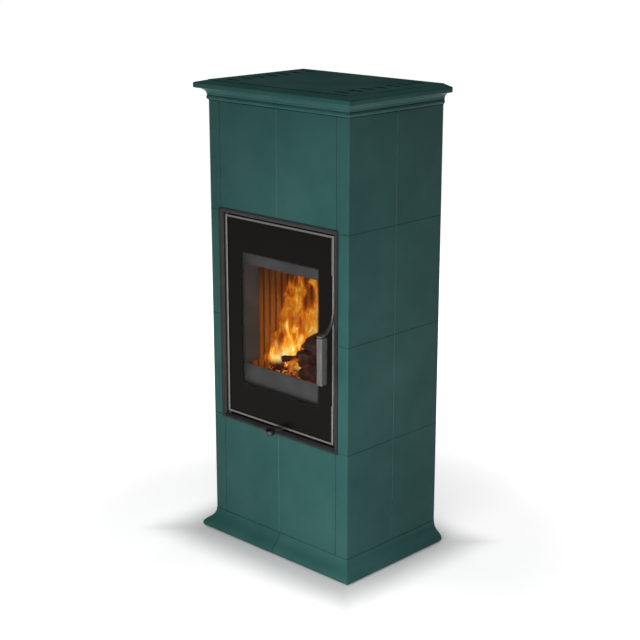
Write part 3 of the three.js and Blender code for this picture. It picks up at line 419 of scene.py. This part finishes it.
def tube(shape, path, radii, sides, wobble=0.0, seed=0.0, flat=1.0):
    """A closed tube along path, with uneven sides when wobble isn't zero."""
    rings = []
    for index, (point, radius) in enumerate(zip(path, radii)):
        before = path[max(index - 1, 0)]
        after = path[min(index + 1, len(path) - 1)]
        turn = (after - before).to_track_quat("Z", "Y")
        ring = []
        for side in range(sides):
            angle = 2 * math.pi * side / sides
            spot = turn @ Vector((math.cos(angle), math.sin(angle) * flat, 0.0)) * radius
            push = 1.0 + wobble * noise.noise((point + spot) * 38.0 + Vector((seed, seed, seed)))
            ring.append(shape.verts.new(point + spot * push))
        rings.append(ring)
    for low, high in zip(rings, rings[1:]):
        for side in range(sides):
            after = (side + 1) % sides
            shape.faces.new((low[side], low[after], high[after], high[side]))
    shape.faces.new(list(reversed(rings[0])))
    shape.faces.new(rings[-1])


# ------------------------------------------------------------------ fire
def log_mesh(name, start, end, radius, seed, split=0.0):
    """A split log: uneven round bark on one side, a flatter torn face on the other."""
    def build(shape):
        steps = 26
        path = []
        for index in range(steps + 1):
            part = index / steps
            middle = start.lerp(end, part)
            sway = noise.noise_vector(Vector((seed, part * 2.2, 0.0))) * radius * 0.3
            path.append(middle + sway)
        radii = [radius * (0.9 + 0.1 * math.sin(math.pi * index / steps)) for index in range(steps + 1)]
        radii[0] *= 0.9
        radii[-1] *= 0.86
        tube(shape, path, radii, 28, wobble=0.42, seed=seed, flat=1.0 - split)
        for vertex in shape.verts:
            fine = noise.noise(vertex.co * 190.0) * 0.0022
            coarse = noise.noise(vertex.co * 70.0 + Vector((seed, 0, 0))) * 0.0045
            vertex.co += Vector((fine + coarse, fine - coarse, coarse))
    return mesh_of(name, build)


def make_logs():
    wood = charred_wood()
    base = HEARTH
    layout = [
        ("log_low_front", (-0.15, -0.035, base + 0.036), (0.155, -0.05, base + 0.037), 0.034, 1.0, 0.15),
        ("log_low_back", (-0.14, 0.09, base + 0.038), (0.15, 0.075, base + 0.036), 0.035, 4.0, 0.2),
        ("log_end", (0.008, -0.082, base + 0.115), (0.03, 0.11, base + 0.098), 0.031, 7.0, 0.1),
        ("log_high", (-0.012, -0.035, base + 0.118), (0.112, -0.01, base + 0.232), 0.035, 13.0, 0.12),
        ("log_right", (0.03, -0.083, base + 0.082), (0.165, -0.07, base + 0.095), 0.034, 19.0, 0.2),
        ("log_left", (-0.135, -0.03, base + 0.088), (-0.07, 0.085, base + 0.09), 0.017, 27.0, 0.3),
        ("log_small", (-0.085, -0.07, base + 0.094), (-0.02, -0.02, base + 0.104), 0.011, 31.0, 0.3),
    ]
    for name, start, end, radius, seed, split in layout:
        piece(name, log_mesh(name, Vector(start), Vector(end), radius, seed, split), wood)


def heap_height(across, deep):
    """Height of the ember heap over the hearth."""
    mound = math.exp(-(across / 0.15) ** 4 - ((deep - 0.01) / 0.1) ** 4)
    rough = noise.noise(Vector((across, deep, 0.0)) * 45.0) * 0.009
    return max(0.0006, mound * (0.075 + rough + 0.01 * math.cos(across * 14.0)))


def make_embers():
    glow = ember_glow()
    chance = random.Random(5)
    columns, rows = 66, 44

    def heap(shape):
        grid = []
        for row in range(rows + 1):
            deep = -0.1 + 0.22 * row / rows
            grid.append([])
            for column in range(columns + 1):
                across = -0.17 + 0.34 * column / columns
                lift = HEARTH + heap_height(across, deep)
                grid[-1].append(shape.verts.new((across, deep, lift)))
        under = [[shape.verts.new((vertex.co.x, vertex.co.y, HEARTH + 0.0003)) for vertex in line_of]
                 for line_of in grid]
        for row in range(rows):
            for column in range(columns):
                for level in (grid, under):
                    shape.faces.new((level[row][column], level[row][column + 1],
                                     level[row + 1][column + 1], level[row + 1][column]))
        border = [(0, c) for c in range(columns)] + [(r, columns) for r in range(rows)]
        border += [(rows, c) for c in range(columns, 0, -1)] + [(r, 0) for r in range(rows, 0, -1)]
        for (r0, c0), (r1, c1) in zip(border, border[1:] + border[:1]):
            shape.faces.new((grid[r0][c0], grid[r1][c1], under[r1][c1], under[r0][c0]))

    def chunks(shape):
        for _ in range(190):
            across = chance.uniform(-0.15, 0.12)
            deep = chance.uniform(-0.085, 0.1)
            size = chance.uniform(0.0035, 0.0095)
            spot = Vector((across, deep, HEARTH + heap_height(across, deep) + size * 0.35))
            turn = Euler([chance.uniform(0, math.tau) for _ in range(3)]).to_matrix().to_4x4()
            stretch = Matrix.Diagonal((size * chance.uniform(1.0, 2.4), size, size * 0.75, 1.0))
            made = bmesh.ops.create_icosphere(shape, subdivisions=2, radius=1.0,
                                              matrix=Matrix.Translation(spot) @ turn @ stretch)
            for vertex in made["verts"]:
                offset = vertex.co - spot
                vertex.co = spot + offset * (1.0 + 0.45 * noise.noise(vertex.co * 170.0))
                vertex.co.z = max(vertex.co.z, HEARTH + 0.0004)
    piece("ember_heap", mesh_of("ember_heap", heap), glow)
    piece("ember_chunks", mesh_of("ember_chunks", chunks), glow, smooth=False)


def flame_sheet(name, root, tip, width, turn, seed, finish):
    """One tongue of fire: a thin sheet that narrows, sways and twists towards its tip."""
    rows, columns = 26, 8
    verts, faces, places = [], [], []
    for row in range(rows + 1):
        part = row / rows
        middle = root.lerp(tip, part)
        sway = noise.noise_vector(Vector((seed, part * 2.4, 3.0)))
        middle = middle + Vector((sway.x, sway.y * 0.5, 0.0)) * width * 0.75 * part
        angle = turn + 0.7 * part * noise.noise(Vector((seed, 9.0, part)))
        half = 0.5 * width * (math.sin(math.pi * min(part * 0.62 + 0.3, 1.0)) ** 0.9 + 0.05)
        for column in range(columns + 1):
            across = column / columns
            offset = (across - 0.5) * 2.0
            bulge = 0.16 * width * (1.0 - offset * offset)
            local = Vector((offset * half, bulge, 0.0))
            spin = Matrix.Rotation(angle, 3, "Z")
            verts.append(middle + spin @ local)
            places.append((across, part))
    for row in range(rows):
        for column in range(columns):
            first = row * (columns + 1) + column
            faces.append((first, first + 1, first + columns + 2, first + columns + 1))
    mesh = bpy.data.meshes.new(name)
    mesh.from_pydata(verts, [], faces)
    layer = mesh.uv_layers.new(name="sheet")
    for loop in mesh.loops:
        layer.data[loop.index].uv = places[loop.vertex_index]
    return piece(name, mesh, finish)


def make_flames():
    finishes = {"hot": flame("flame_hot", 0.72, 1.4, 0.02), "tall": flame("flame_tall", 0.5, 1.0, -0.25),
                "haze": flame("flame_haze", 0.22, 0.9, -0.3)}
    base = HEARTH
    tongues = [
        ("hot", (-0.105, -0.06, base + 0.065), (-0.085, -0.05, base + 0.22), 0.14, 0.55),
        ("hot", (-0.09, -0.04, base + 0.07), (-0.08, -0.035, base + 0.2), 0.12, 0.2),
        ("tall", (-0.07, -0.035, base + 0.07), (-0.09, -0.03, base + 0.33), 0.17, 0.5),
        ("tall", (-0.03, -0.01, base + 0.07), (-0.085, -0.02, base + 0.39), 0.17, 0.35),
        ("tall", (0.03, -0.02, base + 0.12), (-0.03, -0.03, base + 0.41), 0.14, 0.6),
        ("hot", (0.085, -0.03, base + 0.17), (0.045, -0.04, base + 0.35), 0.12, 0.3),
        ("tall", (-0.145, -0.05, base + 0.055), (-0.15, -0.045, base + 0.17), 0.07, 0.4),
        ("haze", (0.0, 0.05, base + 0.05), (-0.03, 0.05, base + 0.44), 0.3, 0.15),
        ("tall", (-0.01, -0.085, base + 0.07), (0.0, -0.075, base + 0.16), 0.08, 0.4),
    ]
    for index, (kind, root, tip, width, turn) in enumerate(tongues):
        flame_sheet("flame_%d" % (index + 1), Vector(root), Vector(tip), width, turn, index * 3.1 + 1.0,
                    finishes[kind])


# ------------------------------------------------------------------ grout and screws
def bead(name, path, width, finish):
    def build(shape):
        tube(shape, path, [width / 2] * len(path), 8, wobble=0.3, seed=len(name))
    return piece(name, mesh_of(name, build), finish)


def line(start, end, steps=40):
    return [Vector(start).lerp(Vector(end), index / steps) for index in range(steps + 1)]


def outline_at_seam(name, count):
    """The front profile of a moulding at the middle of the stove, from the floor up."""
    mesh = frame["nodes"][name].data
    rim = {}
    for vertex in mesh.vertices:
        if abs(vertex.co.x) < 0.001:
            level = round(vertex.co.z, 4)
            rim[level] = min(rim.get(level, 0.0), vertex.co.y)
    path = [Vector((0.0, deep, max(level, SEAM_SETBACK))) for level, deep in sorted(rim.items())
            if deep < FRONT + 0.002]
    return path[:count]


def round_corner(level, from_x):
    """A joint line at one height: along the front from from_x, then back along the side."""
    side = math.copysign(BODY_HALF - SEAM_SETBACK, from_x or 1.0)
    front = FRONT + SEAM_SETBACK
    return line((from_x, front, level), (side, front, level), 12) + line(
        (side, front, level), (side, BODY_BACK, level), 30)[1:]


def make_grout():
    """Pale grout in the middle joints, dark open joints between the rows and beside the corners."""
    pale, dark = grout("grout", (0.05, 0.125, 0.112), (0.085, 0.17, 0.155)), grout(
        "seam", (0.004, 0.014, 0.013), (0.009, 0.024, 0.022))
    face = FRONT + GROUT_SETBACK
    for level in ("lower", "upper"):
        low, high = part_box("front_tile_%s_left" % level)
        bead("grout_%s_centre" % level, line((0.0, face, low[2]), (0.0, face, high[2])), GROUT_WIDTH, pale)
        for name, across in (("left", low[0]), ("right", -low[0])):
            bead("seam_%s_%s" % (level, name), line((across, face, low[2]), (across, face, high[2])),
                 SEAM_WIDTH, dark)
    for side, sign in (("left", -1), ("right", 1)):
        low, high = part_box("side_tile_%s_1" % side)
        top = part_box("side_tile_%s_4" % side)[1][2]
        wall = max(abs(low[0]), abs(high[0])) - GROUT_SETBACK
        bead("grout_side_" + side, line((sign * wall, low[1], low[2]), (sign * wall, low[1], top), 90),
             GROUT_WIDTH, pale)
        rows = [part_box("corner_tile_%s_%d" % (side, row)) for row in range(1, 5)]
        joints = [((rows[0][0][2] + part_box("plinth_left")[1][2]) / 2, 0.0)]
        joints += [((below[1][2] + above[0][2]) / 2, sign * FRONT_TILE_EDGE) for below, above in zip(rows, rows[1:])]
        joints += [((rows[3][1][2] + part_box("cornice_left")[0][2]) / 2, 0.0)]
        for index, (level, from_x) in enumerate(joints):
            path = round_corner(level, from_x) if from_x else round_corner(level, sign * 0.0005)
            bead("seam_row_%s_%d" % (side, index), path, SEAM_WIDTH, dark)
    low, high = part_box("cornice_left")
    tick = low[1] + GROUT_SETBACK
    bead("grout_cornice", line((0.0, tick, high[2] - 0.022), (0.0, tick, high[2] - 0.008), 8), GROUT_WIDTH, pale)
    bead("seam_plinth", outline_at_seam("plinth_left", 60), SEAM_WIDTH * 0.6, dark)


def screw_mesh(name, spots, radius, facing):
    """Round screw heads with a hexagon recess, all looking along facing."""
    def build(shape):
        turn = facing.to_track_quat("Z", "Y").to_matrix().to_4x4()
        profile = [(1.0, 0.0), (0.98, 0.22), (0.82, 0.45), (0.5, 0.58)]
        for spot in spots:
            place = Matrix.Translation(spot) @ turn
            rings = []
            for reach, height in profile:
                rings.append([shape.verts.new(place @ Vector((
                    radius * reach * math.cos(math.tau * side / 24),
                    radius * reach * math.sin(math.tau * side / 24),
                    radius * height))) for side in range(24)])
            for height in (0.56, 0.2):
                rings.append([shape.verts.new(place @ Vector((
                    hexagon(side, 24) * radius * 0.44 * math.cos(math.tau * side / 24),
                    hexagon(side, 24) * radius * 0.44 * math.sin(math.tau * side / 24),
                    radius * height))) for side in range(24)])
            for low, high in zip(rings, rings[1:]):
                for side in range(24):
                    after = (side + 1) % 24
                    shape.faces.new((low[side], low[after], high[after], high[side]))
            shape.faces.new(rings[-1])
            shape.faces.new(list(reversed(rings[0])))
    return mesh_of(name, build)


def hexagon(side, sides):
    angle = math.tau * side / sides
    wedge = math.pi / 3
    return math.cos(wedge / 2) / math.cos((angle % wedge) - wedge / 2)


def make_screws():
    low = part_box("rear_panel_lower")[0]
    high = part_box("rear_panel_upper")[1]
    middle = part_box("rear_panel_lower")[1][2]
    back = high[1]
    inset = 0.014
    spots = []
    for level in (low[2] + 0.03, (low[2] + middle) / 2, middle - 0.03, middle + 0.03, high[2] - 0.06):
        spots += [Vector((side * (high[0] - inset), back, level)) for side in (-1, 1)]
    mesh = screw_mesh("rear_screws", spots, 0.0017, Vector((0, 1, 0)))
    piece("rear_screws", mesh, STEEL_GREY, smooth=False)


# ------------------------------------------------------------------ stage, light and camera
def make_floor():
    bpy.ops.mesh.primitive_circle_add(vertices=64, radius=60.0, fill_type="NGON")
    thing = bpy.context.object
    thing.name = "floor"
    thing.data.materials.append(floor_white().material)


def make_world():
    world = bpy.data.worlds.new("studio")
    bpy.context.scene.world = world
    world.use_nodes = True
    nodes, links = world.node_tree.nodes, world.node_tree.links
    plain = nodes["Background"]
    plain.inputs["Color"].default_value = (1.0, 1.0, 1.0, 1.0)
    seen = nodes.new("ShaderNodeBackground")
    seen.inputs["Color"].default_value = (1.0, 1.0, 1.0, 1.0)
    plain.inputs["Strength"].default_value = 0.03
    path = nodes.new("ShaderNodeLightPath")
    mix = nodes.new("ShaderNodeMixShader")
    links.new(path.outputs["Is Camera Ray"], mix.inputs["Fac"])
    links.new(plain.outputs[0], mix.inputs[1])
    links.new(seen.outputs[0], mix.inputs[2])
    links.new(mix.outputs[0], nodes["World Output"].inputs["Surface"])


def area_light(name, place, target, size, power, colour=(1.0, 1.0, 1.0)):
    light = bpy.data.lights.new(name, "AREA")
    light.shape = "RECTANGLE"
    light.size, light.size_y = size
    light.energy = power
    light.color = colour
    thing = bpy.data.objects.new(name, light)
    bpy.context.scene.collection.objects.link(thing)
    thing.location = place
    thing.rotation_euler = (Vector(target) - Vector(place)).to_track_quat("-Z", "Y").to_euler()


def make_lights():
    area_light("key", (0.68, -1.3, 0.55), (0.15, -0.1, 0.6), (1.1, 1.1), 21.0)
    area_light("side", (3.4, -0.9, 1.1), (0.2, 0.0, 0.7), (1.6, 1.8), 6.5)
    area_light("left", (-3.4, 0.3, 1.1), (-0.2, 0.0, 0.7), (1.8, 2.0), 28.0)
    area_light("back", (-0.1, 3.8, 1.2), (0.0, 0.1, 0.75), (2.4, 2.0), 80.0)
    area_light("top", (0.0, -0.2, 4.2), (0.0, 0.0, 1.2), (2.5, 2.5), 40.0)
    glow = bpy.data.lights.new("fire", "POINT")
    glow.energy = 0.6
    glow.color = (1.0, 0.3, 0.04)
    glow.shadow_soft_size = 0.05
    thing = bpy.data.objects.new("fire", glow)
    thing.location = (0.02, 0.05, HEARTH + 0.2)
    bpy.context.scene.collection.objects.link(thing)


def make_camera():
    camera = bpy.data.cameras.new("camera")
    camera.lens = LENS
    camera.sensor_width = 36.0
    camera.sensor_fit = "HORIZONTAL"
    thing = bpy.data.objects.new("camera", camera)
    bpy.context.scene.collection.objects.link(thing)
    thing.location = CAMERA
    forward = Vector((math.sin(YAW) * math.cos(PITCH), math.cos(YAW) * math.cos(PITCH), -math.sin(PITCH)))
    thing.rotation_euler = forward.to_track_quat("-Z", "Y").to_euler()
    bpy.context.scene.camera = thing


make_camera()
make_world()
make_lights()
make_floor()
dress_nodes()
make_logs()
make_embers()
make_flames()
make_grout()
make_screws()
bpy.context.scene.view_settings.view_transform = "Standard"
